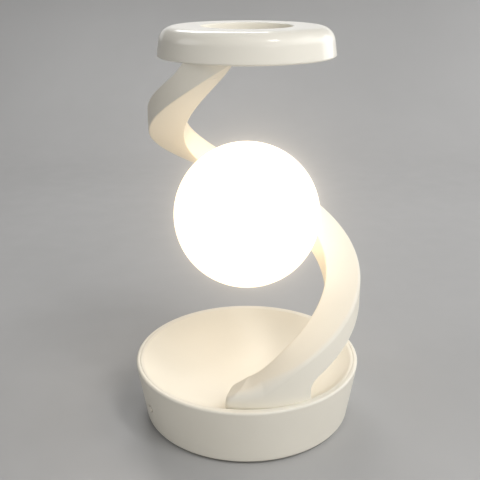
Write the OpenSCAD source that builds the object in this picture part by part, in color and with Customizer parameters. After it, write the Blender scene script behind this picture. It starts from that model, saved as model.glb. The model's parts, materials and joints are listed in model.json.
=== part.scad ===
// Rotating moon desk lamp: a round base drum with a turning tray inside it,
// a one-turn helical arm on the tray, a lit globe held inside the helix and a
// round head with a recess on top.
// Millimetres, +Z up, origin on the axis at the level of the feet, front is -Y.

/* [Base drum] */
// Outer radius of the lip
rim_r = 64.2; // [64:0.1:64.5]
// Height of the lip above the desk
rim_z = 34.6; // [34.4:0.1:35]
// Wall thickness of the drum
shell_t = 2.2; // [2.2:0.1:2.3]
// Gap between the drum's lip and the turning tray
rim_gap = 0.45; // [0.4:0.05:0.5]

/* [Tray] */
// Height of the tray's floor
floor_z = 18.5; // [18.4:0.1:18.8]
// Radius at which the tray's bowl meets its rounded edge
dish_r = 59.6; // [59.4:0.1:59.7]
// Height of the tray's edge
dish_z = 33.9; // [33.7:0.1:34]

/* [Arm] */
// Largest outer radius of the arm
arm_r = 63.7; // [63:0.1:64]
// Outer radius lost between the widest point and the head
arm_in = 22.2; // [21.8:0.1:22.4]
// Radial width of the arm
arm_w = 19.2; // [19:0.1:19.4]
// Height of the arm's outer face
arm_h = 15.1; // [14.8:0.1:15.4]
// Climb of the arm in millimetres per degree
arm_climb = 0.5063; // [0.504:0.0005:0.508]
// Wall thickness of the arm
arm_t = 2.2; // [2.1:0.1:2.3]

/* [Globe] */
// Radius of the globe
globe_r = 40; // [39.8:0.1:40]
// Height of the globe's centre
globe_z = 119.5; // [119:0.5:120]
// Wall thickness of the globe
globe_t = 1.6; // [1.4:0.1:2]
// Direction of the globe's holder, seen from above
globe_a = 76; // [75:1:77]

/* [Head] */
// Radius of the head at its lower edge
head_r = 45.6; // [45.4:0.1:45.8]
// Height of the head's underside
head_z = 204.8; // [204.8:0.1:205]
// Height of the head
head_h = 14.7; // [14.5:0.1:15]
// Radius of the recess in the head's top
recess_r = 23.3; // [23:0.1:23.5]
// Depth of the recess
recess_d = 5; // [4.8:0.1:5.2]

/* [Drive] */
// Tooth module of the gears
gear_m = 1.0; // [1:0.1:1]
// Teeth on the tray's gear
gear_n = 40; // [40:1:40]
// Teeth on the motor's pinion
pinion_n = 16; // [16:1:16]

/* [Push-button] */
// Direction of the button, seen from above
button_a = -151; // [-155:1:-148]
// Height of the button
button_z = 15.2; // [15:0.1:15.4]
// Radius of the button
button_r = 2.2; // [2:0.1:2.3]

/* [Hidden] */
$fn = 96;
e = 0.02;
ivory = "#F0EADD";

// ---- small helpers ----
function arc(cx, cy, r, a0, a1, n) = [for (i = [0:n]) let (a = a0 + (a1 - a0) * i / n) [cx + r * cos(a), cy + r * sin(a)]];
function clamp(x, a, b) = min(max(x, a), b);
function sm(x) = let (u = clamp(x, 0, 1)) u * u * (3 - 2 * u);
function unit(v) = v / norm(v);
function pol(r, a, z) = [r * cos(a), r * sin(a), z];
module at(r, a, z = 0) { translate(pol(r, a, z)) children(); }
// cylinder lying along the direction a, from radius r0 to r1 at height z
module radial(a, z, r0, r1, r, f = 96) { rotate([0, 0, a]) translate([r0, 0, z]) rotate([0, 90, 0]) cylinder(r = r, h = r1 - r0, $fn = f); }
// cross-recessed screw, head down, shank up from z
module screw_up(hr, hh, sr, sl) {
  difference() {
    translate([0, 0, -hh]) cylinder(r = hr, h = hh);
    translate([-hr * 0.6, -0.3, -hh - 1]) cube([hr * 1.2, 0.6, 1 + hh * 0.5]);
    translate([-0.3, -hr * 0.6, -hh - 1]) cube([0.6, hr * 1.2, 1 + hh * 0.5]);
  }
  cylinder(r = sr, h = sl);
}
module screw_down(hr, hh, sr, sl) { mirror([0, 0, 1]) screw_up(hr, hh, sr, sl); }

// ---- closed polyhedron from a list of rings, each a closed loop of n points; ends are the faces of its two ends, each fanned from its first point ----
module loft(rings, ends = []) {
  m = len(rings); n = len(rings[0]);
  caps = len(ends) ? ends : [[for (j = [0:n - 1]) j]];
  pts = [for (r = rings) for (p = r) p];
  side = [for (i = [0:m - 2]) for (j = [0:n - 1]) let (a = i * n + j, b = i * n + (j + 1) % n, c = a + n, d = b + n)
      each [[a, b, d], [a, d, c]]];
  polyhedron(points = pts, faces = concat([for (f = caps) concat([f[0]], [for (j = [len(f) - 1:-1:1]) f[j]])], side, [for (f = caps) [for (j = f) (m - 1) * n + j]]), convexity = 10);
}
// round tube along a list of points, its section carried along without twist
function carry(t, k) = unit(k - (k * t) * t);
function tangents(p) = [for (i = [0:len(p) - 1]) unit(p[min(i + 1, len(p) - 1)] - p[max(i - 1, 0)])];
function normals(t, i, k) = i >= len(t) ? [] : let (c = carry(t[i], k)) concat([c], normals(t, i + 1, c));
module tube(p, r, n = 8, k = [0.31, 0.62, 0.17]) {
  t = tangents(p);
  u = normals(t, 0, k);
  loft([for (i = [0:len(p) - 1]) let (v = cross(t[i], u[i])) [for (j = [0:n - 1]) p[i] + r * (cos(360 * j / n) * u[i] - sin(360 * j / n) * v)]]);
}

// ---- base drum ----
wall_a = 8.6;
lip_R = 1.75;
lip_c = [rim_r - lip_R, rim_z - lip_R];
foot_c = [56.9, 3.3];
foot_R = 2.6;
inner_lip = rim_r - shell_t;
function shell_in(z) = z > 31.5 ? inner_lip : inner_lip - (31.5 - z) * 0.166;
col_r = 50.5;
module base_shell() {
  color(ivory) difference() {
    union() {
      rotate_extrude() polygon(concat(
        arc(foot_c[0], foot_c[1], foot_R, -90, -wall_a, 8),
        arc(lip_c[0], lip_c[1], lip_R, -wall_a, 90, 10),
        arc(inner_lip + 0.4, rim_z - 0.4, 0.4, 90, 180, 3),
        [[shell_in(31.5), 31.5], [shell_in(2.9), 2.9], [54.4, 2.9], [54.4, 0.7]]));
      for (a = [45:90:315]) {
        at(col_r, a, 2.9) cylinder(r = 3.2, h = 6.8);
        rotate([0, 0, a]) translate([col_r + 2.2, -1.2, 2.9]) cube([5.6, 2.4, 6.2]);
      }
    }
    for (a = [45:90:315]) at(col_r, a, 2) cylinder(r = 1.3, h = 9);
    // power inlet slot at the back
    translate([0, 48, 7.6]) rotate([-90, 0, 0]) linear_extrude(16) polygon(concat(arc(2.9, 0, 1.9, -90, 90, 12), arc(-2.9, 0, 1.9, 90, 270, 12)));
    // bore that guides the button
    radial(button_a, button_z, 54, 68, button_r + 0.1);
  }
}
module bottom_cover() {
  color("#D9D4C8") difference() {
    union() {
      translate([0, 0, 0.9]) cylinder(r = 54.2, h = 2);
      for (x = [-12, 12], y = [26, 46]) translate([x, y, 2.9]) cylinder(r = 2.2, h = 1.5);
    }
    for (a = [45:90:315]) at(col_r, a, 0) { cylinder(r = 1.5, h = 4); cylinder(r = 3, h = 2.1); }
    for (a = [0:90:270]) at(44, a, 0) cylinder(r = 5.1, h = 1.5);
    for (x = [-12, 12], y = [26, 46]) translate([x, y, 1.9]) cylinder(r = 0.95, h = 4);
    for (a = [200, 280]) at(30, a, 1.7) cylinder(r = 1.25, h = 4);
  }
}
module rubber_feet() { color("#3A3A3A") for (a = [0:90:270]) at(44, a, 0) { cylinder(r1 = 4.5, r2 = 5, h = 0.5); translate([0, 0, 0.5]) cylinder(r = 5, h = 1); } }
module cover_screws() { color("silver") for (a = [45:90:315]) at(col_r, a, 2.1) screw_up(2.8, 1.1, 1.25, 4); }
module ballast_plate() {
  color("#8A8D90") difference() {
    translate([0, 0, 2.9]) cylinder(r = 46, h = 4);
    translate([0, 0, 2]) cylinder(r = 14, h = 6);
    rotate([0, 0, 150]) translate([-80, -160, 2]) cube([160, 160, 6]);
    for (a = [200, 280]) at(30, a, 2) cylinder(r = 1.6, h = 6);
  }
}
module ballast_screws() { color("silver") for (a = [200, 280]) at(30, a, 6.9) screw_down(2.6, 1.4, 1.2, 4.9); }
motor_x = gear_m * (gear_n + pinion_n) / 2;
module deck() {
  color("#C9C6BE") difference() {
    union() {
      translate([0, 0, 9.7]) cylinder(r = 54, h = 1.5);
      translate([0, 0, 4.5]) cylinder(r = 13, h = 5.2);
    }
    translate([0, 0, 4]) cylinder(r = 10.5, h = 5.7);
    translate([0, 0, 9]) cylinder(r = 9, h = 3);
    for (a = [45:90:315]) at(col_r, a, 9) cylinder(r = 1.5, h = 3);
    translate([motor_x, 0, 9]) cylinder(r = 4, h = 3);
    for (s = [-1, 1]) translate([motor_x, s * 14.5, 9]) cylinder(r = 1.25, h = 3);
    at(34, 150, 9) cylinder(r = 3, h = 3);
    for (s = [-1, 1]) rotate([0, 0, button_a]) translate([52.2, s * 4, 9]) cylinder(r = 0.55, h = 3);
  }
}
module deck_screws() { color("silver") for (a = [45:90:315]) at(col_r, a, 11.2) screw_down(2.5, 1.2, 1.25, 4); }
module main_pcb() {
  color("#2F6B45") difference() {
    union() {
      translate([-15, 22, 4.4]) cube([30, 28, 1.6]);
      translate([-7, 50, 4.4]) cube([14, 6, 1.6]);
    }
    for (x = [-12, 12], y = [26, 46]) translate([x, y, 4]) cylinder(r = 1.1, h = 3);
  }
}
// controller, motor driver, inductor, capacitors and plug headers, each on the board's top
module pcb_components() {
  color("#2B2B2E") {
    translate([-3.5, 32, 6]) cube([7, 7, 1.2]);
    translate([-12, 33, 6]) cube([5, 4, 1.4]);
    translate([6.5, 32, 6]) cube([5.5, 5.5, 2.8]);
    translate([-6, 42.5, 6]) cylinder(r = 1.8, h = 3.2);
    translate([6, 42.5, 6]) cylinder(r = 1.8, h = 3.2);
    translate([-8, 22.6, 6]) cube([6, 3.4, 3]);
    translate([1, 22.6, 6]) cube([8, 3.4, 3]);
  }
}
module pcb_screws() { color("silver") for (x = [-12, 12], y = [26, 46]) translate([x, y, 6]) screw_down(1.9, 1, 0.9, 3.8); }
module pill(w, h, d) { for (s = [-1, 1]) translate([s * (w - h) / 2, 0, 0]) cylinder(r = h / 2, h = d); translate([-(w - h) / 2, -h / 2, 0]) cube([w - h, h, d]); }
module usb_c_socket() {
  color("#B8BBBE") translate([0, 52.3, 7.63]) rotate([-90, 0, 0]) {
    difference() {
      pill(8.94, 3.26, 7.35);
      translate([0, 0, 1]) pill(8.34, 2.56, 8);
    }
    translate([-3.35, -0.35, 0.8]) cube([6.7, 0.7, 5.6]);
  }
}

// ---- switch behind the wall ----
module switch_board() {
  color("#2F6B45") rotate([0, 0, button_a]) translate([51.6, -6, 11.2]) cube([1.2, 12, 6.2]);
}
module tact_switch() {
  color("#33343A") difference() {
    rotate([0, 0, button_a]) translate([52.8, -2.25, button_z - 2.25]) cube([3.2, 4.5, 4.5]);
    radial(button_a, button_z, 54.2, 60, 1.15);
  }
}
module switch_plunger() { color("#E8E4DA") radial(button_a, button_z, 54.9, 57, 1.1); }
module power_button() {
  color(ivory) {
    radial(button_a, button_z, 57, 58.1, button_r + 0.9);
    radial(button_a, button_z, 58, 61.7, button_r);
    rotate([0, 0, button_a]) translate([61.7, 0, button_z]) rotate([0, 90, 0]) cylinder(r1 = button_r, r2 = button_r - 0.3, h = 0.3);
  }
}

// ---- drive ----
function flank(r, rb) = let (p = acos(min(1, rb / r))) tan(p) * 180 / PI - p;
module gear2d(z, bl) {
  rp = gear_m * z / 2; rb = rp * cos(20); ra = rp + 0.95 * gear_m; rf = rp - 1.2 * gear_m;
  half = 90 / z - bl / (2 * rp) * 180 / PI + flank(rp, rb);
  r0 = max(rb, rf);
  rr = [for (i = [0:3]) r0 + (ra - r0) * i / 3];
  tooth = concat([[rf, -half]], [for (r = rr) [r, -half + flank(r, rb)]], [for (i = [3:-1:0]) [rr[i], half - flank(rr[i], rb)]], [[rf, half]]);
  polygon([for (k = [0:z - 1]) for (q = tooth) [q[0] * cos(q[1] + 360 * k / z), q[0] * sin(q[1] + 360 * k / z)]]);
}
module gear_motor() {
  color("#A9ABAE") translate([motor_x, 0, 0]) difference() {
    union() {
      translate([0, 0, 3.4]) cylinder(r = 11, h = 5.6);
      translate([-4, -14.5, 9]) cube([8, 29, 0.7]);
      for (s = [-1, 1]) translate([0, s * 14.5, 9]) cylinder(r = 4, h = 0.7);
      cylinder_boss();
    }
    translate([0, 0, 8]) cylinder(r = 1.55, h = 4);
    for (s = [-1, 1]) translate([0, s * 14.5, 8]) cylinder(r = 1.25, h = 3);
  }
}
module cylinder_boss() { translate([0, 0, 9]) cylinder(r = 3.6, h = 2); }
module motor_screws() { color("silver") for (s = [-1, 1]) translate([motor_x, s * 14.5, 9]) screw_up(2.2, 1.4, 1.2, 2.2); }
module motor_shaft() { color("silver") translate([motor_x, 0, 8.2]) cylinder(r = 1.5, h = 7); }
module drive_pinion() {
  color("white") translate([motor_x, 0, 11.5]) rotate([0, 0, 180 / pinion_n]) difference() {
    linear_extrude(3.6) gear2d(pinion_n, 0.12);
    translate([0, 0, -1]) cylinder(r = 1.52, h = 6);
  }
}
module turntable_gear() {
  color("white") translate([0, 0, 11.6]) difference() {
    linear_extrude(3.9) gear2d(gear_n, 0.12);
    translate([0, 0, -1]) cylinder(r = 15, h = 6);
  }
}
module turntable_hub() {
  color("#D8D8D4") difference() {
    union() {
      translate([0, 0, 13]) cylinder(r = 15 - e, h = 2.5);
      translate([0, 0, 3.9]) cylinder(r = 6, h = 9.1);
    }
    translate([0, 0, 3]) cylinder(r = 3.8, h = 14);
    translate([0, 0, 4.2]) difference() { cylinder(r = 7, h = 0.5); translate([0, 0, -1]) cylinder(r = 5.5, h = 3); }
    for (a = [0:120:240]) at(10.5, a, 12) cylinder(r = 1.3, h = 5);
  }
}
module hub_screws() { color("silver") for (a = [0:120:240]) at(10.5, a, 13) screw_up(2.2, 1.3, 1.2, 4.2); }
module hub_circlip() {
  color("#5A5C60") difference() {
    translate([0, 0, 4.23]) cylinder(r = 7.3, h = 0.44);
    translate([0, 0, 4]) cylinder(r = 5.52, h = 1);
    rotate([0, 0, 20]) translate([0, -2.5, 4]) cube([10, 5, 1]);
  }
}
ball_r = 1.5;
ball_c = 8.25;
module bearing_race(r0, r1) {
  color("#BFC2C6") rotate_extrude() difference() {
    translate([r0, 4.7]) square([r1 - r0, 5]);
    translate([ball_c, 7.2]) circle(r = ball_r + 0.05);
  }
}
module bearing_outer_ring() { bearing_race(9.1, 10.5 - e); }
module bearing_inner_ring() { bearing_race(6 + e, 7.4); }
module bearing_balls() { color("#D5D7DA") for (k = [0:8]) at(ball_c, 40 * k, 7.2) sphere(r = ball_r); }
module bearing_cage() {
  color("#B08D4A") difference() {
    translate([0, 0, 6.3]) cylinder(r = 8.75, h = 2.8);
    translate([0, 0, 6]) cylinder(r = 7.75, h = 4);
    for (k = [0:8]) at(ball_c, 40 * k, 7.2) sphere(r = ball_r + 0.04);
  }
}
module slip_ring_stator() {
  color("#4A4D52") difference() {
    union() { translate([0, 0, 2.9]) cylinder(r = 9, h = 0.5); translate([0, 0, 3.4]) cylinder(r = 3.4, h = 7.8); }
    translate([0, 0, 4.4]) cylinder(r = 2.05, h = 8);
  }
}
module slip_ring_rotor() {
  color("#C9A227") { translate([0, 0, 4.6]) cylinder(r = 2, h = 7); translate([0, 0, 11.5]) cylinder(r = 3.8 - e, h = 3); }
}

// ---- tray ----
dish_b = dish_z - floor_z;
dish_out = shell_in(33) - rim_gap;
function bowl_(r) = floor_z + dish_b * pow(r / dish_r, 3);
function slope(r) = 3 * dish_b / dish_r * pow(r / dish_r, 2);
edge_a = atan(slope(dish_r));
edge_R = (dish_out - 0.23 - dish_r) / sin(edge_a);
edge_c = [dish_r + edge_R * sin(edge_a), dish_z - edge_R * cos(edge_a)];
// height of the tray's upper side, with its rounded edge
function bowl(r) = r <= dish_r ? bowl_(r) : edge_c[1] + sqrt(pow(edge_R, 2) - pow(min(r, edge_c[0]) - edge_c[0], 2));
lead_a = -61.3;
module dish() {
  color(ivory) difference() {
    rotate_extrude() polygon(concat(
      [for (i = [1:24]) let (r = dish_r * i / 24) [r, bowl(r)]],
      arc(edge_c[0], edge_c[1], edge_R, 90 + edge_a * 0.8, 90, 4),
      [[dish_out - 0.08, edge_c[1] + edge_R - 0.04], [dish_out, edge_c[1] + edge_R - 0.14], [dish_out, 31.7]],
      [for (i = [14:-1:0]) let (r = 24 + (dish_r + 0.6 - 24) * i / 14) [r, bowl_(r) - 2.2 * sqrt(1 + pow(slope(r), 2))]],
      [[22.5, floor_z - 2.2], [22, floor_z - 3], [0, floor_z - 3], [0, floor_z]]));
    // groove under the floor for the harness, and the hole it rises through
    rotate([0, 0, lead_a]) translate([-1.3, -1.3, floor_z - 4]) cube([50.6, 2.6, 3.1]);
    at(50, lead_a, 10) cylinder(r = 1.8, h = 20);
    for (a = [0:120:240]) at(10.5, a, 14) cylinder(r = 1.25, h = 3.4);
    for (a = [-73, -88]) at(46, a, 10) { cylinder(r = 1.5, h = 20); cylinder(r = 2.7, h = bowl(46) - 2 - 10); }
  }
}

// ---- helical arm ----
tip_a = -103.4;
arch_a = -56.5;
end_a = 256;
function ro_(t) = t < 10 ? arm_r - 4.8 * (1 - cos(1.04 * (t - 10))) : arm_r - arm_in * pow((t - 10) / 240, 1.82);
function aw(t) = arm_w - 0.9 * sm((-20 - t) / 60);
// rounded end of the foot, seen from above
function tip_in(t) = let (u = clamp((-93 - t) / 10.8, 0, 1)) (aw(t) / 2 - 1.9) * (1 - sqrt(1 - u * u * 0.93));
function ro(t) = ro_(t) - tip_in(t);
function ri(t) = ro_(t) - aw(t) + tip_in(t);
function rise(t) = 46.7 + arm_climb * (t + 80) + 1.7 * sin(0.6 * (t + 80));
function ht(t) = arm_h - 2.6 * sm((t - 100) / 120);
// top edge: it flares up into the head near its upper end and never passes the head's underside
function top(t) = min(rise(t) + 4.6 * pow(clamp((t - 217) / 13.5, 0, 1), 2.6), head_z);
function lean(t) = t > 229 ? 0 : 1.1 * (1 - sm((t - 205) / 24));
function under(t) = min(rise(t) - ht(t), head_z - 1.5);
// lower edge at radius r: the helix, or the tray's floor where the foot stands on it
function low(t, r) = t < arch_a ? bowl(r) + 0.03 : under(t) - 2.4 * pow(1 - clamp((t - arch_a) / 5, 0, 1), 2);
function cav(t, r) = let (c = top(t) - arm_t) max(c, low(t, r) + 0.35);
function soft(t) = 1.4 + 2.6 * sm((-40 - t) / 50);
function arm_ring(t) = let (
    a = ro(t), b = ri(t), w = arm_t, zt = top(t), zi = min(top(t) + lean(t), head_z), k = min(soft(t), (zt - low(t, a)) * 0.45, (a - b) * 0.3),
    sec = concat([[a, low(t, a)]],
      [for (q = [0:3]) [a - k + k * cos(30 * q), zt - k + k * sin(30 * q)]],
      [for (q = [0:3]) [b + k - k * sin(30 * q), zi - k + k * cos(30 * q)]],
      [[b, low(t, b)], [b + w, low(t, b + w)], [b + w, cav(t, b + w)], [a - w, cav(t, a - w)], [a - w, low(t, a - w)]]))
  [for (s = sec) pol(s[0], t, s[1])];
arm_steps = concat([for (t = [tip_a:2.2:-60]) t], [-59, -58, -57.2, arch_a - 0.05, arch_a + 0.05, -55.8, -54.8, -53.4, -51.5], [for (t = [-48:4:200]) t], [for (t = [203:3:227]) t], [228.9, 229.1], [for (t = [231:3:253]) t], [end_a]);
module arm_shell() {
  color(ivory) difference() {
    loft([for (t = arm_steps) arm_ring(t)], [[0, 1, 12, 13], [12, 1, 2, 3, 4], [12, 4, 5, 11], [11, 5, 6, 7, 8], [11, 8, 9, 10]]);
    // passage for the globe's nipple, screws and wires
    radial(globe_a, globe_z, 38, 50, 3.15);
    at(37, 234, 199) cylinder(r = 1.35, h = 10);
    at(36, 243, 199) cylinder(r = 1.35, h = 8);
    at(30, 238, 199) cylinder(r = 2.1, h = 10);
  }
}
module arm_cover() {
  g = arm_t + 0.06;
  color("#EAE3D4") loft([for (t = concat([-58.6, -57.6, arch_a - 0.06, arch_a + 0.06, -55.8, -54.8, -53.4, -51.5], [for (t = [-48:4:200]) t], [for (t = [203:3:248]) t]))
    let (a = ro(t) - g, b = ri(t) + g, zu = under(t) + 1.8) [pol(a, t, low(t, a)), pol(a, t, zu), pol(b, t, zu), pol(b, t, low(t, b))]]);
}
module foot_block() {
  g = arm_t + 0.1;
  color("#B9BCBF") difference() {
    loft([for (t = [-98:2:-64]) let (a = ro(t) - arm_t - 1.7, b = ri(t) + g, zu = top(t) - arm_t - 0.15)
      [pol(a, t, bowl(a) + 0.04), pol(a, t, zu), pol(b, t, zu), pol(b, t, bowl(b) + 0.04)]]);
    for (a = [-73, -88]) at(46, a, 15) cylinder(r = 1.3, h = 19.5);
  }
}
module foot_screws() { color("silver") for (a = [-73, -88]) at(46, a, bowl(46) - 2) screw_up(2.5, 1.6, 1.25, 10); }
function wire_r(t) = ro_(t) - 6.5 + (30 - (ro_(238) - 6.5)) * sm((t - 214) / 24);
function wire_z(t) = t > 205 ? (under(t) + 1.8 + min(top(t), head_z) - arm_t) / 2 : (under(t) + 1.8 + top(t) - arm_t) / 2;
harness = concat(
  [[0, 0, 14.55], [0, 0, 15.6]], [pol(1.2, lead_a, 16.5), pol(4, lead_a, 16.6), pol(20, lead_a, 16.6), pol(27, lead_a, 16.6), pol(33, lead_a, 17.2), pol(39, lead_a, 18.6),
   pol(45, lead_a, 20.9), pol(48.8, lead_a, 22.9), pol(50, lead_a, 25), pol(50, lead_a, 30), pol(50.2, lead_a + 0.2, 36), pol(50.6, lead_a + 0.6, 44), pol(51.5, lead_a + 1.8, 49.5)],
  [for (t = [-55:6:233]) pol(wire_r(t), t, wire_z(t))], [pol(30, 238, 199.5), pol(30, 238, 203), pol(30, 238, 207.6)]);
module arm_harness() { color("#C43A32") tube(harness, 0.9, 8); }
module led_lead() { color("#C43A32") radial(globe_a, globe_z, 28.02, wire_r(globe_a) - 1.2, 0.9, 24); }

// ---- globe and its holder ----
module lamp_holder() {
  color("#E9E5DA") difference() {
    union() {
      radial(globe_a, globe_z, 28, 39.7, 7);
      radial(globe_a, globe_z, 39.7, 40.8, 7.6);
    }
    radial(globe_a, globe_z, 27, 37, 5.5);
    radial(globe_a, globe_z, 36, 42, 3.05);
  }
}
module lamp_nipple() {
  color("#C8A552") difference() { radial(globe_a, globe_z, 37.2, 48.5, 3); radial(globe_a, globe_z, 36, 50, 1.9); }
}
module nipple_nut() {
  color("#C8A552") difference() { radial(globe_a, globe_z, 45, 47.2, 4.5, 6); radial(globe_a, globe_z, 44, 49, 3.02); }
}
module led_board() { color("#E6E8EA") difference() { radial(globe_a, globe_z, 26.8, 28, 6.8); for (s = [-1, 1]) rotate([0, 0, globe_a]) translate([26, s * 4.9, globe_z]) rotate([0, 90, 0]) cylinder(r = 0.5, h = 3); } }
module led_chips() {
  color("#F4D873") rotate([0, 0, globe_a]) translate([26, 0, globe_z]) {
    for (k = [0:5]) rotate([60 * k, 0, 0]) translate([0, -0.9, 2.6]) cube([0.8, 1.8, 1.8]);
    translate([0, -0.9, -0.9]) cube([0.8, 1.8, 1.8]);
  }
}
module globe() {
  color("#FFF6E2") difference() {
    translate([0, 0, globe_z]) sphere(r = globe_r);
    translate([0, 0, globe_z]) sphere(r = globe_r - globe_t);
    radial(globe_a, globe_z, 20, 45, 7.1);
  }
}

// ---- head ----
head_top = head_z + head_h;
pad_z = head_top - recess_d;
// the head's side leans in and runs into the shoulder's arc
sh_R = 8;
sh_c = [head_r - 8.96, head_top - sh_R];
module head_housing() {
  color(ivory) difference() {
    union() {
      rotate_extrude() polygon(concat(
        [[head_r - 2.1, head_z], [head_r - 0.9, head_z]],
        arc(head_r - 0.9, head_z + 0.9, 0.9, -90, 8.6, 6),
        arc(sh_c[0], sh_c[1], sh_R, 8.6, 90, 12),
        [[recess_r + 0.8, head_top]], arc(recess_r + 0.8, head_top - 0.8, 0.8, 100, 180, 4),
        [[recess_r, pad_z - 1.3], [recess_r + 2, pad_z - 1.3], [recess_r + 2, head_top - 2]],
        [[sh_c[0], head_top - 2]], arc(sh_c[0], sh_c[1], sh_R - 2, 83, 12, 6),
        [[head_r - 2.3, head_z + 2.1], [head_r - 2.1, head_z + 2]]));
      for (a = [90, 210, 330]) at(36.2, a, head_z + 2) cylinder(r = 2.8, h = head_h - 3);
    }
    for (a = [90, 210, 330]) at(36.2, a, head_z + 1) cylinder(r = 1.3, h = 9);
  }
}
module head_base() {
  color("#EDE7DA") difference() {
    union() {
      translate([0, 0, head_z]) cylinder(r = head_r - 2.15, h = 2);
      for (a = [30, 150, 270]) at(19, a, head_z + 2) cylinder(r = 2.4, h = 2);
      at(37, 234, head_z + 2) cylinder(r = 2.8, h = 4);
      at(36, 243, head_z + 2) cylinder(r = 2.8, h = 4);
    }
    for (a = [90, 210, 330]) at(36.2, a, head_z - 1) { cylinder(r = 1.5, h = 5); cylinder(r = 2.6, h = 2); }
    for (a = [30, 150, 270]) at(19, a, head_z + 0.6) cylinder(r = 0.95, h = 5);
    at(37, 234, head_z - 1) cylinder(r = 1.3, h = 6);
    at(36, 243, head_z - 1) cylinder(r = 1.3, h = 6);
    at(30, 238, head_z - 1) cylinder(r = 2.1, h = 5);
  }
}
module head_screws() { color("silver") for (a = [90, 210, 330]) at(36.2, a, head_z + 1) screw_up(2.4, 0.9, 1.25, 7); }
module arm_head_screws() { color("silver") { at(37, 234, head_z - arm_t) screw_up(2.2, 1.4, 1.25, 6); at(36, 243, head_z - arm_t) screw_up(2.2, 1.2, 1.25, 6); } }
module charging_pad() {
  color("#ECE6D9") { translate([0, 0, pad_z - 2.5]) cylinder(r = recess_r + 2.6, h = 1.2); translate([0, 0, pad_z - 1.3]) cylinder(r = recess_r - 0.1, h = 1.3); }
}
module charging_coil() { color("#B8763A") translate([0, 0, pad_z - 3.6]) difference() { cylinder(r = 20, h = 1.1); translate([0, 0, -1]) cylinder(r = 8, h = 4); } }
module ferrite_disc() { color("#3C3C40") translate([0, 0, pad_z - 4.3]) cylinder(r = 21, h = 0.7); }
module charger_pcb() {
  color("#2F6B45") difference() {
    translate([0, 0, head_z + 4]) cylinder(r = 24, h = 1.2);
    for (a = [30, 150, 270]) at(19, a, head_z + 3) cylinder(r = 1.1, h = 4);
  }
}
module charger_screws() { color("silver") for (a = [30, 150, 270]) at(19, a, head_z + 5.2) screw_down(1.6, 0.15, 0.9, 4.2); }

// ---- leads inside the base ----
module motor_lead() { color("#3F63B5") tube([[5, 22.3, 7.5], [6, 20.5, 7.4], [9, 17, 7], [14, 13, 6.4], [18, 10.2, 6.2], [20.1, 8.3, 6.2]], 0.8, 8); }
module switch_lead() {
  p = rotz([51.3, 3, 13], button_a);
  color("#3F63B5") tube([[-15.3, 34, 5.2], [-20, 33.5, 5.4], [-26, 24, 6.2], pol(34, 150, 8), pol(34, 150, 12), pol(36, 160, 12.6), pol(42, 185, 12.6), pol(46, 203, 12.8), rotz([48.5, 3, 13], button_a), p], 0.7, 8);
}
function rotz(p, a) = [p[0] * cos(a) - p[1] * sin(a), p[0] * sin(a) + p[1] * cos(a), p[2]];
module slip_ring_lead() { color("#3F63B5") tube([[-5, 22.3, 7.5], [-5, 20.5, 7], [-4.6, 18.5, 5], [-4.4, 16.5, 3.75], [-4, 13, 3.7], [-3.4, 9.4, 3.7]], 0.7, 8); }

base_shell();
bottom_cover();
rubber_feet();
cover_screws();
ballast_plate();
ballast_screws();
deck();
deck_screws();
main_pcb();
pcb_components();
pcb_screws();
usb_c_socket();
switch_board();
tact_switch();
switch_plunger();
power_button();
gear_motor();
motor_screws();
motor_shaft();
drive_pinion();
bearing_outer_ring();
bearing_inner_ring();
bearing_balls();
bearing_cage();
turntable_hub();
hub_screws();
hub_circlip();
turntable_gear();
slip_ring_stator();
slip_ring_rotor();
dish();
arm_shell();
arm_cover();
foot_block();
foot_screws();
arm_harness();
led_lead();
lamp_holder();
lamp_nipple();
nipple_nut();
led_board();
led_chips();
globe();
head_housing();
head_base();
head_screws();
arm_head_screws();
charging_pad();
charging_coil();
ferrite_disc();
charger_pcb();
charger_screws();
motor_lead();
switch_lead();
slip_ring_lead();
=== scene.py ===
import json
import math

import bmesh
import bpy
from mathutils import Matrix, Vector


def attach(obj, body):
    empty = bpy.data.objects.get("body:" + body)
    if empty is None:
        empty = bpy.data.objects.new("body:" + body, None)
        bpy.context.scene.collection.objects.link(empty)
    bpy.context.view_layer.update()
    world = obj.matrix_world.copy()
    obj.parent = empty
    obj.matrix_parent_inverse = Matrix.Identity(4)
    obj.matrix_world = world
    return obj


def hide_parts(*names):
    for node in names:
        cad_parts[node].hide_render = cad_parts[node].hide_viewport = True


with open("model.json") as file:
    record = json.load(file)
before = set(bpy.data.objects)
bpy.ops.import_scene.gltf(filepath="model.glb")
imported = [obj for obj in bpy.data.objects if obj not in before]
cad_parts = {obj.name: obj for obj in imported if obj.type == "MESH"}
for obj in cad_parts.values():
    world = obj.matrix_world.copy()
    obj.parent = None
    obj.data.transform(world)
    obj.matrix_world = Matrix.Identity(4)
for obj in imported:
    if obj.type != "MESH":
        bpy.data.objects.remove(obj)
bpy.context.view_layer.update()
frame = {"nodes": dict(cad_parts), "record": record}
nodes = frame["nodes"]
scene = bpy.context.scene
MM = 0.001


# ------------------------------------------------------------------ helpers
def clamp(x, a=0.0, b=1.0):
    return min(max(x, a), b)


def sm(x):
    u = clamp(x)
    return u * u * (3 - 2 * u)


def lerp(a, b, t):
    return a + (b - a) * t


def arc(cx, cy, r, a0, a1, n):
    out = []
    for i in range(n + 1):
        a = math.radians(a0 + (a1 - a0) * i / n)
        out.append((cx + r * math.cos(a), cy + r * math.sin(a)))
    return out


def refine(pts, step, closed=False):
    """Splits the long sides of a profile, so that smooth shading stays true next to its rounds."""
    out, m = [], len(pts)
    for i in range(m if closed else m - 1):
        a, b = pts[i], pts[(i + 1) % m]
        k = max(1, math.ceil(math.dist(a, b) / step))
        out += [(lerp(a[0], b[0], j / k), lerp(a[1], b[1], j / k)) for j in range(k)]
    if not closed:
        out.append(pts[-1])
    return out


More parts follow.
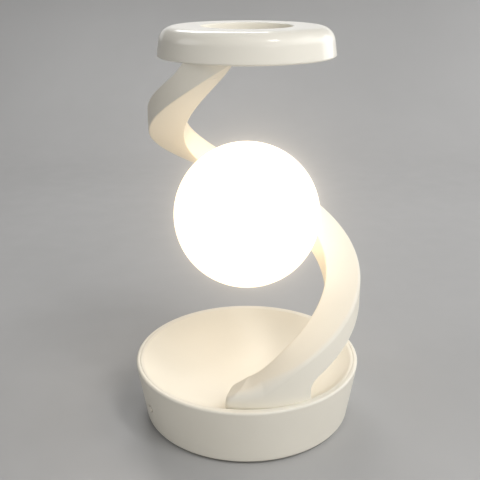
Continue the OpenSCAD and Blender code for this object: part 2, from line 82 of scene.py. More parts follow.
def make(name, verts, faces, sharp=34.0):
    """A mesh object from millimetres, smooth but for its sharp edges."""
    me = bpy.data.meshes.new(name)
    me.from_pydata([(x * MM, y * MM, z * MM) for x, y, z in verts], [], faces)
    me.validate()
    me.polygons.foreach_set("use_smooth", [True] * len(me.polygons))
    me.set_sharp_from_angle(angle=math.radians(sharp))
    ob = bpy.data.objects.new(name, me)
    scene.collection.objects.link(ob)
    return ob


def turned(prof, seg=256, closed=True):
    """Vertices and faces of a profile (r, z) turned about Z. Walked with the solid on its left, it faces outward."""
    verts, idx, faces, n = [], [], [], len(prof)
    for r, z in prof:
        if r < 1e-6:
            idx.append([len(verts)] * seg)
            verts.append((0.0, 0.0, z))
        else:
            idx.append(list(range(len(verts), len(verts) + seg)))
            verts += [(r * math.cos(2 * math.pi * j / seg), r * math.sin(2 * math.pi * j / seg), z) for j in range(seg)]
    for i in range(n if closed else n - 1):
        a, b = idx[i], idx[(i + 1) % n]
        for j in range(seg):
            k = (j + 1) % seg
            q = []
            for v in (a[j], a[k], b[k], b[j]):
                if v not in q:
                    q.append(v)
            if len(q) > 2:
                faces.append(q)
    return verts, faces


def lathe(name, prof, seg=256, closed=True, sharp=34.0, place=None):
    verts, faces = turned(prof, seg, closed)
    if place is not None:
        verts = [tuple(place @ Vector(v)) for v in verts]
    return make(name, verts, faces, sharp)


def along(a_deg, z):
    """Places a turned piece with its Z along the level direction a, at height z (millimetres)."""
    a = math.radians(a_deg)
    d, up = Vector((math.cos(a), math.sin(a), 0)), Vector((0, 0, 1))
    side = d.cross(up)
    m = Matrix((
        (up.x, side.x, d.x, 0),
        (up.y, side.y, d.y, 0),
        (up.z, side.z, d.z, z),
        (0, 0, 0, 1),
    ))
    return m


def cut(ob, tool):
    """Cuts tool out of ob and drops it."""
    mod = ob.modifiers.new("cut", "BOOLEAN")
    mod.operation, mod.solver, mod.object = "DIFFERENCE", "EXACT", tool
    dg = bpy.context.evaluated_depsgraph_get()
    dg.update()
    me = bpy.data.meshes.new_from_object(ob.evaluated_get(dg))
    ob.modifiers.clear()
    old, ob.data = ob.data, me
    me.name = old.name
    bpy.data.meshes.remove(old)
    bpy.data.objects.remove(tool)


def true_normals(ob, prof, limit=0.72):
    """Sets the exact normals of a turned profile on every corner that lies on it, so that cuts leave no shading marks."""
    n = len(prof)
    segs = []
    for i in range(n):
        (r0, z0), (r1, z1) = prof[i], prof[(i + 1) % n]
        d = math.hypot(r1 - r0, z1 - z0)
        if d > 1e-9:
            segs.append((r0, z0, r1 - r0, z1 - z0, d, (z1 - z0) / d, -(r1 - r0) / d))
    m = len(segs)
    knot = []
    for i in range(m):
        p, q = segs[i - 1], segs[i]
        c = p[5] * q[5] + p[6] * q[6]
        if c > 0.8:
            h = math.hypot(p[5] + q[5], p[6] + q[6])
            knot.append(((p[5] + q[5]) / h, (p[6] + q[6]) / h))
        else:
            knot.append(None)
    me = ob.data
    cache, out = {}, []
    for poly in me.polygons:
        fn = poly.normal
        for li in poly.loop_indices:
            vi = me.loops[li].vertex_index
            co = me.vertices[vi].co
            if vi not in cache:
                r, z = math.hypot(co.x, co.y) / MM, co.z / MM
                best = None
                for i, (r0, z0, dr, dz, d, nr, nz) in enumerate(segs):
                    if abs(r - r0) > d + 0.5 or abs(z - z0) > d + 0.5:
                        continue
                    t = clamp(((r - r0) * dr + (z - z0) * dz) / (d * d))
                    e = math.hypot(r - r0 - t * dr, z - z0 - t * dz)
                    if best is None or e < best[0] - 1e-7:
                        best = (e, i, t)
                cands = []
                if best is not None and best[0] < 0.08:
                    e, i, t = best
                    a, b = knot[i], knot[(i + 1) % m]
                    s = segs[i]
                    a, b = a or (s[5], s[6]), b or (s[5], s[6])
                    cands.append((lerp(a[0], b[0], t), lerp(a[1], b[1], t)))
                    if t < 1e-4 and knot[i] is None:
                        cands.append((segs[i - 1][5], segs[i - 1][6]))
                    if t > 1 - 1e-4 and knot[(i + 1) % m] is None:
                        cands.append((segs[(i + 1) % m][5], segs[(i + 1) % m][6]))
                cache[vi] = cands
            h = math.hypot(co.x, co.y) or 1.0
            pick, top = fn, limit
            for nr, nz in cache[vi]:
                v = Vector((co.x / h * nr, co.y / h * nr, nz)).normalized()
                if v.dot(fn) > top:
                    pick, top = v, v.dot(fn)
            out.append(tuple(pick))
    me.normals_split_custom_set(out)


# ------------------------------------------------------------------ materials
class Graph:
    def __init__(self, name):
        self.mat = bpy.data.materials.new(name)
        self.mat.use_nodes = True
        self.t = self.mat.node_tree
        self.t.nodes.clear()
        self.out = self.t.nodes.new("ShaderNodeOutputMaterial")
        self.bsdf = self.t.nodes.new("ShaderNodeBsdfPrincipled")
        self.t.links.new(self.bsdf.outputs[0], self.out.inputs[0])
        self.co = self.t.nodes.new("ShaderNodeTexCoord").outputs["Object"]

    def link(self, a, b):
        self.t.links.new(a, b)

    def noise(self, scale, detail=3.0, rough=0.5, vec=None):
        n = self.t.nodes.new("ShaderNodeTexNoise")
        n.inputs["Scale"].default_value = scale
        n.inputs["Detail"].default_value = detail
        n.inputs["Roughness"].default_value = rough
        self.link(vec or self.co, n.inputs["Vector"])
        return n.outputs[0]

    def voronoi(self, scale, vec=None, feature="F1"):
        n = self.t.nodes.new("ShaderNodeTexVoronoi")
        n.feature = feature
        n.inputs["Scale"].default_value = scale
        self.link(vec or self.co, n.inputs["Vector"])
        return n.outputs["Distance"]

    def scaled(self, x, y, z):
        n = self.t.nodes.new("ShaderNodeMapping")
        n.inputs["Scale"].default_value = (x, y, z)
        self.link(self.co, n.inputs["Vector"])
        return n.outputs[0]

    def span(self, v, a, b, c, d):
        n = self.t.nodes.new("ShaderNodeMapRange")
        n.inputs["From Min"].default_value, n.inputs["From Max"].default_value = a, b
        n.inputs["To Min"].default_value, n.inputs["To Max"].default_value = c, d
        self.link(v, n.inputs["Value"])
        return n.outputs[0]

    def math(self, op, a, b):
        n = self.t.nodes.new("ShaderNodeMath")
        n.operation = op
        for i, v in enumerate((a, b)):
            if isinstance(v, (int, float)):
                n.inputs[i].default_value = v
            else:
                self.link(v, n.inputs[i])
        return n.outputs[0]

    def mix(self, fac, a, b):
        n = self.t.nodes.new("ShaderNodeMix")
        n.data_type = "RGBA"
        self.link(fac, n.inputs[0])
        for i, v in ((6, a), (7, b)):
            if isinstance(v, (tuple, list)):
                n.inputs[i].default_value = (*v[:3], 1)
            else:
                self.link(v, n.inputs[i])
        return n.outputs[2]

    def edge(self, lo, hi):
        g = self.t.nodes.new("ShaderNodeNewGeometry")
        return self.span(g.outputs["Pointiness"], lo, hi, 0.0, 1.0)

    def bump(self, height, strength, distance, under=None):
        n = self.t.nodes.new("ShaderNodeBump")
        n.inputs["Strength"].default_value = strength
        n.inputs["Distance"].default_value = distance
        self.link(height, n.inputs["Height"])
        if under is not None:
            self.link(under, n.inputs["Normal"])
        return n.outputs[0]

    def set(self, **kw):
        for k, v in kw.items():
            s = self.bsdf.inputs[k.replace("_", " ")]
            if isinstance(v, (int, float)):
                s.default_value = v
            elif isinstance(v, (tuple, list)):
                s.default_value = (*v[:3], 1)
            else:
                self.link(v, s)


def plastic(name, base, rough, grain=900.0, grain_h=0.000012, coat=0.0, coat_rough=0.12, spec=0.5, swing=0.02, wear=0.03):
    """Moulded plastic: faint flow mottling, a fine moulded grain, long low waviness and slightly rubbed edges."""
    g = Graph(name)
    dark = [c * f for c, f in zip(base, (0.985, 0.980, 0.970))]
    light = [min(1.0, c * f) for c, f in zip(base, (1.010, 1.008, 1.004))]
    flow = g.noise(22.0, 4.0, 0.55, g.scaled(1, 1, 0.55))
    col = g.mix(g.span(flow, 0.32, 0.68, 0.0, 1.0), dark, light)
    speck = g.noise(1400.0, 1.0, 0.4)
    col = g.mix(g.span(speck, 0.70, 0.82, 0.0, 0.10), col, [c * 0.80 for c in base])
    rub = g.edge(0.515, 0.60)
    col = g.mix(g.math("MULTIPLY", rub, wear * 8), col, [min(1.0, c * 1.06) for c in base])
    g.set(Base_Color=col)
    smear = g.noise(30.0, 2.0, 0.5)
    r = g.span(smear, 0.30, 0.72, rough - swing, rough + swing)
    g.set(Roughness=g.math("ADD", r, g.math("MULTIPLY", rub, -0.04)))
    wave = g.bump(g.noise(38.0, 1.0, 0.3), 0.05, 0.0006)
    g.set(Normal=g.bump(g.noise(grain, 2.0, 0.5), 0.35, grain_h, wave))
    g.set(IOR=1.50, Coat_Weight=coat, Coat_Roughness=coat_rough, Specular_IOR_Level=spec)
    return g.mat


def metal(name, base, rough, streak=(1, 1, 40)):
    """Turned or brushed metal with fine streaks, a little tarnish and brighter edges."""
    g = Graph(name)
    lines = g.noise(900.0, 2.0, 0.6, g.scaled(*streak))
    tarn = g.noise(160.0, 4.0, 0.6)
    col = g.mix(g.span(tarn, 0.35, 0.7, 0.0, 1.0), [c * 0.82 for c in base], base)
    col = g.mix(g.math("MULTIPLY", g.edge(0.52, 0.62), 0.5), col, [min(1, c * 1.15) for c in base])
    g.set(Base_Color=col, Metallic=1.0)
    g.set(Roughness=g.span(lines, 0.3, 0.7, rough - 0.08, rough + 0.10))
    g.set(Normal=g.bump(lines, 0.25, 0.00002))
    return g.mat


def rubber(name, base):
    g = Graph(name)
    col = g.mix(g.span(g.noise(120.0, 4.0, 0.6), 0.35, 0.7, 0, 1), [c * 0.7 for c in base], [c * 1.3 for c in base])
    dust = g.noise(700.0, 2.0, 0.5)
    g.set(Base_Color=g.mix(g.span(dust, 0.6, 0.8, 0.0, 0.25), col, (0.30, 0.29, 0.27)))
    g.set(Roughness=g.span(dust, 0.3, 0.7, 0.72, 0.90))
    g.set(Normal=g.bump(g.noise(1500.0, 2.0, 0.5), 0.4, 0.00003))
    return g.mat


def board(name, base):
    """Solder-masked board: weave under the mask and thin traces."""
    g = Graph(name)
    weave = g.noise(2200.0, 1.0, 0.4)
    lanes = g.voronoi(420.0, None, "DISTANCE_TO_EDGE")
    col = g.mix(g.span(weave, 0.3, 0.7, 0, 1), [c * 0.8 for c in base], [c * 1.2 for c in base])
    g.set(Base_Color=g.mix(g.span(lanes, 0.0, 0.08, 1.0, 0.0), col, [c * 1.7 for c in base]))
    g.set(Roughness=g.span(weave, 0.3, 0.7, 0.30, 0.42))
    g.set(Normal=g.bump(lanes, 0.2, 0.00003))
    return g.mat


def lit_globe(name, body, light, strength):
    """Opal diffuser lit from inside, with soft broad mottling and shallow round dimples."""
    g = Graph(name)
    broad = g.noise(34.0, 4.0, 0.55)
    pits = g.voronoi(150.0)
    small = g.voronoi(420.0)
    tone = g.span(broad, 0.38, 0.66, 0.0, 1.0)
    dim = g.mix(tone, [c * f for c, f in zip(light, (0.86, 0.82, 0.74))], light)
    dim = g.mix(g.span(pits, 0.0, 0.35, 0.16, 0.0), dim, [c * 0.7 for c in light])
    g.set(Base_Color=g.mix(tone, [c * 0.93 for c in body], body))
    g.set(Emission_Color=dim, Emission_Strength=strength)
    g.set(Roughness=g.span(broad, 0.3, 0.7, 0.42, 0.55))
    low = g.bump(pits, 0.5, 0.0003)
    g.set(Normal=g.bump(small, 0.35, 0.0001, low))
    return g.mat


IVORY = (0.840, 0.800, 0.700)
ivory_gloss = plastic("ivory_gloss", IVORY, 0.44, coat=0.06)
ivory_soft = plastic("ivory_soft", IVORY, 0.56, wear=0.008)
ivory_head = plastic("ivory_head", (0.850, 0.815, 0.725), 0.40, grain_h=0.000004, coat=0.5, coat_rough=0.06, spec=0.2)
ivory_satin = plastic("ivory_satin", (0.825, 0.780, 0.675), 0.42)
cover_plastic = plastic("cover_plastic", (0.70, 0.66, 0.58), 0.55, grain=1500.0, grain_h=0.00004)
globe_mat = lit_globe("globe_glow", (0.95, 0.92, 0.85), (1.0, 0.79, 0.54), 1.38)
MATS = {
    "ivory_gloss": ivory_gloss,
    "ivory_satin": ivory_satin,
    "cover_plastic": cover_plastic,
    "globe_glow": globe_mat,
    "rubber_dark": rubber("rubber_dark", (0.035, 0.035, 0.036)),
    "steel": metal("steel", (0.62, 0.62, 0.63), 0.30),
    "ballast_iron": metal("ballast_iron", (0.16, 0.16, 0.17), 0.55),
    "deck_plastic": plastic("deck_plastic", (0.78, 0.77, 0.74), 0.45),
    "board_green": board("board_green", (0.02, 0.16, 0.07)),
    "component_black": plastic("component_black", (0.03, 0.03, 0.032), 0.5, wear=0.0),
    "inlet_metal": metal("inlet_metal", (0.70, 0.71, 0.72), 0.28),
    "brass_fitting": metal("brass_fitting", (0.78, 0.57, 0.24), 0.26),
    "coil_copper": metal("coil_copper", (0.72, 0.36, 0.18), 0.32),
    "led_white": plastic("led_white", (0.86, 0.86, 0.84), 0.4),
    "led_phosphor": lit_globe("led_phosphor", (0.95, 0.80, 0.30), (1.0, 0.85, 0.6), 2.0),
    "wire_red": plastic("wire_red", (0.50, 0.04, 0.035), 0.42),
    "wire_blue": plastic("wire_blue", (0.05, 0.11, 0.42), 0.42),
}
slot_of = {s["node"]: s["material_slot"] for s in frame["record"]["subparts"]}
for n, o in nodes.items():
    o.data.materials.clear()
    o.data.materials.append(MATS[slot_of[n]])


def dress(ob, mat, body, slot, *stands_for):
    ob.data.materials.clear()
    ob.data.materials.append(mat)
    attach(ob, body)
    if stands_for:
        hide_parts(*stands_for)
    return ob


# ------------------------------------------------------------------ drum
def shell_in(z):
    return 62.0 if z > 31.5 else 62.0 - (31.5 - z) * 0.166


drum_prof = refine(
    [(54.4, 0.7)]
    + arc(56.9, 3.3, 2.6, -90, -8.87, 14)
    + arc(62.95, 33.35, 1.25, -8.87, 90, 18)
    + arc(62.15, 34.45, 0.15, 90, 180, 4)
    + [(shell_in(31.5), 31.5), (shell_in(2.9), 2.9), (54.4, 2.9)],
    1.6,
    True,
)
drum = lathe("drum", drum_prof, 288)
BUTTON_A, BUTTON_Z = -151.0, 15.2
tool = lathe("tool", refine([(0, 54), (2.3, 54), (2.3, 68), (0, 68)], 20), 64, False, place=along(BUTTON_A, BUTTON_Z))
cut(drum, tool)
# the inlet's slot, a straight pill-shaped cut
pill = arc(2.9, 0, 1.9, -90, 90, 20) + arc(-2.9, 0, 1.9, 90, 270, 20)
ring = len(pill)
pv = [(x, 48.0, 7.6 + z) for x, z in pill] + [(x, 70.0, 7.6 + z) for x, z in pill]
pf = [[j, (j + 1) % ring, ring + (j + 1) % ring, ring + j] for j in range(ring)]
pf += [list(range(ring))[::-1], list(range(ring, 2 * ring))]
tool = make("tool", pv, pf)
bm = bmesh.new()
bm.from_mesh(tool.data)
bmesh.ops.recalc_face_normals(bm, faces=bm.faces)
bm.to_mesh(tool.data)
bm.free()
cut(drum, tool)
true_normals(drum, drum_prof)
dress(drum, ivory_gloss, "base", "ivory_gloss", "base_shell")

# push-button: a domed cap on a flanged stem
cap = refine(
    [(0, 55.4), (3.1, 55.4), (3.1, 56.2), (2.2, 56.2)]
    + [(2.2, 57.6), (1.45, 57.9), (1.45, 61.2)] + arc(1.0, 61.3, 0.45, 0, 70, 6) + [(0.75, 61.86), (0.4, 61.96), (0, 62.0)],
    0.6,
)
button = lathe("push_button", cap, 64, False, place=along(BUTTON_A, BUTTON_Z))
dress(button, ivory_satin, "button", "ivory_satin", "power_button")


# ------------------------------------------------------------------ tray
RIM_R, FLOOR_Z, DEPTH = 59.6, 18.5, 15.4


def bowl_slope(r):
    return 3 * DEPTH / RIM_R * (r / RIM_R) ** 2


EDGE = math.degrees(math.atan(bowl_slope(RIM_R)))
EDGE_R = 2.9
EDGE_C = (RIM_R + EDGE_R * math.sin(math.radians(EDGE)), FLOOR_Z + DEPTH - EDGE_R * math.cos(math.radians(EDGE)))


def bowl(r):
    """Height of the tray's upper side, with its rounded edge."""
    if r <= RIM_R:
        return FLOOR_Z + DEPTH * (r / RIM_R) ** 3
    return EDGE_C[1] + math.sqrt(EDGE_R ** 2 - (min(r, EDGE_C[0]) - EDGE_C[0]) ** 2)


tray_prof = [(0, 15.5), (22.0, 15.5), (22.5, 16.3)]
for i in range(19):
    r = lerp(24.0, 60.2, i / 18)
    tray_prof.append((r, FLOOR_Z + DEPTH * (r / RIM_R) ** 3 - 2.3 * math.hypot(1, bowl_slope(r))))
tray_prof += [(61.45, 31.4), (61.6, 32.2), (61.85, 32.6), (61.88, 34.3)] + arc(61.73, 34.36, 0.15, 0, 90, 4)
tray_prof += arc(*EDGE_C, EDGE_R, 90, 89.5 + EDGE, 12)
tray_prof += [(RIM_R * (1 - i / 60), bowl(RIM_R * (1 - i / 60))) for i in range(61)]
tray = lathe("tray", refine(tray_prof, 2.2), 288, False, sharp=40)
dress(tray, ivory_soft, "turntable", "ivory_gloss", "dish")

# ------------------------------------------------------------------ spiral arm
HEAD_Z = 204.8
ARCH = -56.5
TIP0, TIP1 = -97.5, -102.2
TAIL0, TAIL1 = 240.0, 257.5


def ro_(t):
    if t < 10:
        return 63.7 - 4.8 * (1 - math.cos(math.radians(1.04 * (t - 10))))
    return 63.7 - 22.2 * ((t - 10) / 240.0) ** 1.82


def aw(t):
    return 19.2 - 0.9 * sm((-20 - t) / 60)


def nose(t):
    """How far the sides draw in at the rounded ends, seen from above."""
    u = clamp((TIP0 - t) / (TIP0 - TIP1), 0, 0.9995)
    v = clamp((t - TAIL0) / (TAIL1 - TAIL0), 0, 0.9995)
    return aw(t) / 2 * (1 - (1 - u ** 4) ** 0.25), aw(t) / 2 * (1 - math.sqrt(1 - v * v)) * 0.97


def rise(t):
    x = -88.0 - t
    flat = 0.128 * (x + math.sqrt(x * x + 4)) if x > -20 else 0.0
    return 46.7 + 0.5063 * (t + 80) + 1.7 * math.sin(math.radians(0.6 * (t + 80))) + flat


def facet(t, r):
    """How far the top falls away beyond the slanting crest across the end of the foot."""
    if t > -80:
        return 0.0
    x, y = r * math.cos(math.radians(t)), r * math.sin(math.radians(t))
    d = (x - 0.8) * -0.942 + (y + 40.3) * 0.336
    s = (x - 0.8) * -0.336 + (y + 40.3) * -0.942
    d -= 0.0325 * max(0.0, s - 9.0) ** 2
    return 0.18 * (d + math.sqrt(d * d + 0.02))


def ht(t):
    return 15.1 - 2.6 * sm((t - 100) / 120)


def top_(t):
    u = clamp((TIP0 - t) / (TIP0 - TIP1), 0, 0.9995)
    return min(rise(t) + 4.6 * clamp((t - 217) / 13.5) ** 2.6, HEAD_Z) - 1.0 * (1 - (1 - u ** 4) ** 0.25)


def lean(t):
    return 0.0 if t > 229 else 1.1 * (1 - sm((t - 205) / 24)) - 1.45 * sm((-60 - t) / 22)


def under(t):
    return min(rise(t) - ht(t), HEAD_Z - 1.5 + 1.0 * sm((t - 244) / 12))


FILLET = 4.4


def fillet(t):
    """How far the underside dips where it turns down into the foot."""
    x = (t - ARCH) * math.radians(1) * 52.0
    if x >= FILLET:
        return 0.0
    return FILLET - math.sqrt(max(0.0, FILLET ** 2 - (FILLET - max(x, 0.0)) ** 2))


def low(t, r):
    return bowl(r) - 0.06 if t < ARCH else under(t) - fillet(t)


def between(p, q, n):
    """Points inside the straight from p to q: one close to each end, so that the rounds keep their shading, and n others."""
    d = math.dist(p, q)
    f = min(0.12, 0.15 * d) / max(d, 1e-9)
    return [(lerp(p[0], q[0], k), lerp(p[1], q[1], k)) for k in [f] + [lerp(f, 1 - f, i / (n + 1)) for i in range(1, n + 1)] + [1 - f]]


def section(t):
    nt, nl = nose(t)
    a, b = ro_(t) - nt - nl, ro_(t) - aw(t) + nt + nl
    w = a - b
    zt = top_(t)
    zi = min(zt + lean(t), HEAD_Z)
    la, lb = low(t, a), low(t, b)
    joined = sm((t - 210) / 16)
    out_r = lerp(1.4 + 0.9 * sm((20 - t) / 50) + 6.6 * sm((-58 - t) / 36), 0.25, joined)
    in_r = lerp(1.1 + 1.6 * sm((-40 - t) / 40) * (1 - sm((-80 - t) / 12)), 0.25, joined)
    fa, fb = facet(t, a), facet(t, b)
    h = max(min(zt - fa - la, zi - fb - lb), 0.2)
    out_r = min(out_r, 0.55 * h, 0.49 * w)
    in_r = min(in_r, 0.55 * h, 0.49 * w)
    rb = min(0.7 if t > ARCH else 0.15, 0.2 * h, 0.2 * w)
    pts = arc(a - rb, la + rb, rb, -90, 0, 4)
    pts += between((a, la + rb), (a, zt - out_r - fa), 5)
    over = arc(a - out_r, zt - out_r, out_r, 0, 90, 18) + between((a - out_r, zt), (b + in_r, zi), 20) + arc(b + in_r, zi - in_r, in_r, 90, 180, 9)
    pts += [(r, z - facet(t, r)) for r, z in over]
    pts += between((b, zi - in_r - fb), (b, lb + rb), 5)
    pts += arc(b + rb, lb + rb, rb, 180, 270, 4)
    # underside, with the shallow seat of its closing strip
    seat = 0.55 * sm((t - ARCH - 5.6) / 0.25) * (1 - sm((t - 243.0) / 0.25))
    e0, e1 = b + min(2.3, 0.3 * w), a - min(2.3, 0.3 * w)
    pts += [(lerp(b + rb, e0, f), low(t, lerp(b + rb, e0, f))) for f in (0.06, 0.5)] + [(e0, low(t, e0)), (e0 + 0.02, low(t, e0) + seat)]
    pts += [(lerp(e0, e1, i / 5), low(t, lerp(e0, e1, i / 5)) + seat) for i in range(1, 5)]
    pts += [(e1 - 0.02, low(t, e1) + seat), (e1, low(t, e1))] + [(lerp(e1, a - rb, f), low(t, lerp(e1, a - rb, f))) for f in (0.5, 0.94)]
    return pts


def steps(a, b, step):
    k = max(1, math.ceil(abs(b - a) / step))
    return [lerp(a, b, i / k) for i in range(k + 1)]


def swept(rings, close):
    """A closed surface through rings of points, each a list of (x, y, z)."""
    m, n = len(rings), len(rings[0])
    verts = [p for r in rings for p in r]
    faces = []
    for i in range(m - 1):
        for j in range(n):
            k = (j + 1) % n
            faces.append([i * n + j, (i + 1) * n + j, (i + 1) * n + k, i * n + k])
    if close:
        faces += [list(range(n)), [(m - 1) * n + j for j in range(n)][::-1]]
    return verts, faces


def ring_at(t, pts):
    c, s = math.cos(math.radians(t)), math.sin(math.radians(t))
    return [(r * c, r * s, z) for r, z in pts]


tip = [TIP0 - (TIP0 - TIP1) * math.sin(math.radians(p)) for p in (89.0, 86, 82, 78, 73, 68, 62, 56, 50, 44, 38, 32, 26, 20, 14, 8)]
turn = [ARCH + FILLET * (1 - math.cos(math.radians(p))) / 52.0 / math.radians(1) for p in (0.5, 6, 12, 18, 24, 30, 37, 44, 52, 60, 69, 78, 90)]
t_arm = (
    tip
    + steps(TIP0, -80.0, 0.3)
    + steps(-79.2, ARCH - 0.6, 0.9)
    + [ARCH - 0.3, ARCH - 0.01]
    + turn
    + [ARCH + 5.55, ARCH + 5.86]
    + steps(ARCH + 6.5, 214.0, 1.1)
    + steps(215.0, 242.9, 0.75)
    + [243.26]
    + steps(244.0, TAIL1 - 2.2, 0.8)
    + [TAIL1 - (TAIL1 - TAIL0) * (1 - math.sin(math.radians(p))) for p in (62, 68, 74, 80, 85, 89)]
)
t_arm = sorted(set(round(t, 5) for t in t_arm))
arm = make("arm_body", *swept([ring_at(t, section(t)) for t in t_arm], True), sharp=38)
dress(arm, ivory_soft, "turntable", "ivory_gloss", "arm_shell")


def strip_section(t):
    a, b = ro_(t) - nose(t)[1], ro_(t) - aw(t) + nose(t)[1]
    w = a - b
    e0, e1 = b + min(2.3, 0.3 * w) + 0.01, a - min(2.3, 0.3 * w) - 0.01
    z, k = low(t, (e0 + e1) / 2), 0.02
    pts = [(e1 - k, z), (e1 - 0.3 * k, z + 0.3 * k), (e1, z + k), (e1, z + 0.5), (e0, z + 0.5), (e0, z + k), (e0 + 0.3 * k, z + 0.3 * k), (e0 + k, z)]
    return pts + [(x, z) for x, _ in between((e0 + k, z), (e1 - k, z), 5)]


strip = make("arm_strip", *swept([ring_at(t, strip_section(t)) for t in steps(ARCH + 6.05, 242.8, 1.2)], True), sharp=30)
dress(strip, ivory_soft, "turntable", "ivory_satin", "arm_cover")

# ------------------------------------------------------------------ globe on its holder
GLOBE_A, GLOBE_Z, R = 76.0, 119.5, 40.0
h0 = math.degrees(math.asin(7.15 / R))
h1 = math.degrees(math.asin(7.15 / (R - 1.6)))
ball = arc(0, 0, R, -90, 90 - h0, 150) + [(7.15, (R - 0.8) * math.cos(math.radians(h0)))] + arc(0, 0, R - 1.6, 90 - h1, -90, 60)
ball = [(max(r, 0.0) if r > 1e-4 else 0.0, z) for r, z in ball]
globe = lathe("globe_shell", ball, 192, False, sharp=50, place=along(GLOBE_A, GLOBE_Z))
dress(globe, globe_mat, "turntable", "globe_glow", "globe")

cup = refine(
    [(5.5, 28.0), (6.8, 28.0)] + arc(6.8, 28.2, 0.2, -90, 0, 3) + [(7.0, 39.7), (7.3, 39.7)]
    + arc(7.3, 40.0, 0.3, -90, 0, 4) + arc(7.2, 40.4, 0.4, 0, 90, 5) + [(3.05, 40.8), (3.05, 37.0), (5.5, 37.0)],
    1.2,
    True,
)
cup = lathe("globe_holder", cup, 96, True, place=along(GLOBE_A, GLOBE_Z))
dress(cup, ivory_satin, "turntable", "ivory_satin", "lamp_holder")

# ------------------------------------------------------------------ head
head_prof = refine(
    [(43.5, 204.8)]
    + arc(44.7, 205.7, 0.9, -90, 8.6, 10)
    + arc(36.64, 211.5, 8.0, 8.6, 90, 36)
    + [(24.1, 219.5)]
    + arc(24.1, 218.7, 0.8, 94, 180, 8)
    + [(23.3, 213.2), (25.3, 213.2), (25.3, 217.5), (36.64, 217.5)]
    + arc(36.64, 211.5, 6.0, 83, 12, 10)
    + [(43.3, 206.8)],
    1.1,
    True,
)
head = lathe("head_shell", head_prof, 288, True, sharp=34)
true_normals(head, head_prof)
dress(head, ivory_head, "turntable", "ivory_gloss", "head_housing")

pad_prof = refine(
    [(0, 212.0), (25.9, 212.0), (25.9, 213.15), (23.2, 213.15), (23.2, 214.2)]
    + arc(22.9, 214.2, 0.3, 0, 90, 4)
    + [(20.6, 214.5), (20.45, 214.38), (20.15, 214.38), (20.0, 214.5), (0, 214.5)],
    1.6,
)
pad = lathe("head_pad", pad_prof, 192, False, sharp=34)
dress(pad, ivory_satin, "turntable", "ivory_satin", "charging_pad")

# ------------------------------------------------------------------ stage
floor_g = Graph("stage_floor")
sw = floor_g.noise(3.0, 4.0, 0.5)
floor_g.set(Base_Color=floor_g.mix(floor_g.span(sw, 0.35, 0.65, 0, 1), (0.395, 0.392, 0.388), (0.425, 0.422, 0.418)))
floor_g.set(Roughness=floor_g.span(floor_g.noise(40.0, 3.0, 0.5), 0.3, 0.7, 0.50, 0.62))
pts = [(-2.2, 0.0), (0.55, 0.0)]
pts += [(0.55 + 0.35 * math.sin(math.radians(a)), 0.35 - 0.35 * math.cos(math.radians(a))) for a in range(5, 91, 5)] + [(0.90, 2.2)]
fv, ff = [], []
for y, z in pts:
    fv += [(-3000, y * 1000, z * 1000), (3000, y * 1000, z * 1000)]
for i in range(len(pts) - 1):
    ff.append([2 * i, 2 * i + 1, 2 * i + 3, 2 * i + 2])
floor = make("stage_floor", fv, ff, 60)
floor.data.materials.append(floor_g.mat)

# ------------------------------------------------------------------ light
world = bpy.data.worlds.new("studio")
scene.world = world
world.use_nodes = True
bg = world.node_tree.nodes["Background"]
bg.inputs[0].default_value = (0.90, 0.95, 1.0, 1)
bg.inputs[1].default_value = 0.02


def area(name, at, aim, w, h, watts, col=(1, 1, 1), roll=0.0, shape="RECTANGLE"):
    li = bpy.data.lights.new(name, "AREA")
    li.shape, li.size, li.size_y, li.energy, li.color = shape, w, h, watts, col
    ob = bpy.data.objects.new(name, li)
    ob.location = at
    q = (Vector(aim) - Vector(at)).to_track_quat("-Z", "Y")
    ob.rotation_mode = "QUATERNION"
    ob.rotation_quaternion = q @ Matrix.Rotation(math.radians(roll), 3, "Z").to_quaternion()
    scene.collection.objects.link(ob)
    return ob


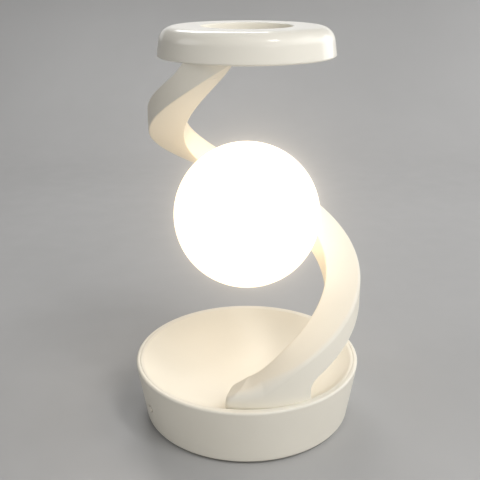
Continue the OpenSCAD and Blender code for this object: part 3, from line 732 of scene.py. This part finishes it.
AIM = (0, 0, 0.12)
area("key", (0.493, -0.429, 1.126), AIM, 0.22, 0.22, 2.46)
area("front_high", (0.466, -0.691, 0.983), AIM, 0.5, 0.5, 3.1).visible_glossy = False
area("front_low", (0.179, -1.272, 0.323), AIM, 0.9, 0.3, 4.3).visible_glossy = False
area("front_right", (0.954, -0.668, 0.410), AIM, 0.7, 0.4, 0.8).visible_glossy = False
area("right_front", (0.857, -0.400, 0.859), AIM, 0.9, 0.6, 1.4)
area("right", (0.967, 0.085, 0.825), AIM, 0.9, 0.6, 3.5)
area("low_right", (0.874, 0.612, 0.386), AIM, 0.6, 0.5, 2.5)
area("back", (-0.150, 0.854, 0.797), AIM, 0.5, 0.4, 4.4)
area("left", (-1.034, -0.109, 0.720), AIM, 0.7, 0.5, 2.66)
area("low_back", (0.0, 0.84, 0.33), (0, 0, 0.22), 1.4, 0.2, 0.5)
area("glint", (0.570, -0.790, 0.575), (0.014, -0.043, 0.2135), 0.56, 0.10, 0.65, shape="ELLIPSE")
spot = bpy.data.lights.new("globe_pool", "SPOT")
spot.energy, spot.color, spot.spot_size, spot.spot_blend, spot.shadow_soft_size = 0.014, (1.0, 0.79, 0.54), math.radians(80), 1.0, 0.008
spot_ob = bpy.data.objects.new("globe_pool", spot)
spot_ob.location = (-0.008, 0.012, 0.0775)
spot_ob.rotation_euler = (Vector((-0.014, 0.022, 0.02)) - spot_ob.location).to_track_quat("-Z", "Y").to_euler()
scene.collection.objects.link(spot_ob)

# ------------------------------------------------------------------ camera
cam = bpy.data.cameras.new("camera")
cam.sensor_width = 36.0
cam.lens = 742.4 / 480 * 36
cam.shift_x, cam.shift_y = -6.92 / 480, -2.53 / 480
cam.clip_start = 0.01
cam_ob = bpy.data.objects.new("camera", cam)
cam_ob.location = (0.0, -0.3868, 0.2469)
cam_ob.rotation_euler = (math.radians(70.0), 0, 0)
scene.collection.objects.link(cam_ob)
scene.camera = cam_ob
scene.view_settings.view_transform = "Standard"

# a faint halo round what is brighter than white
scene.use_nodes = True
comp = scene.node_tree
comp.nodes.clear()
seen = comp.nodes.new("CompositorNodeRLayers")
halo = comp.nodes.new("CompositorNodeGlare")
halo.glare_type = "BLOOM"
halo.inputs["Threshold"].default_value = 1.0
halo.inputs["Strength"].default_value = 0.75
halo.inputs["Size"].default_value = 0.55
shown = comp.nodes.new("CompositorNodeComposite")
comp.links.new(seen.outputs["Image"], halo.inputs["Image"])
comp.links.new(halo.outputs["Image"], shown.inputs["Image"])
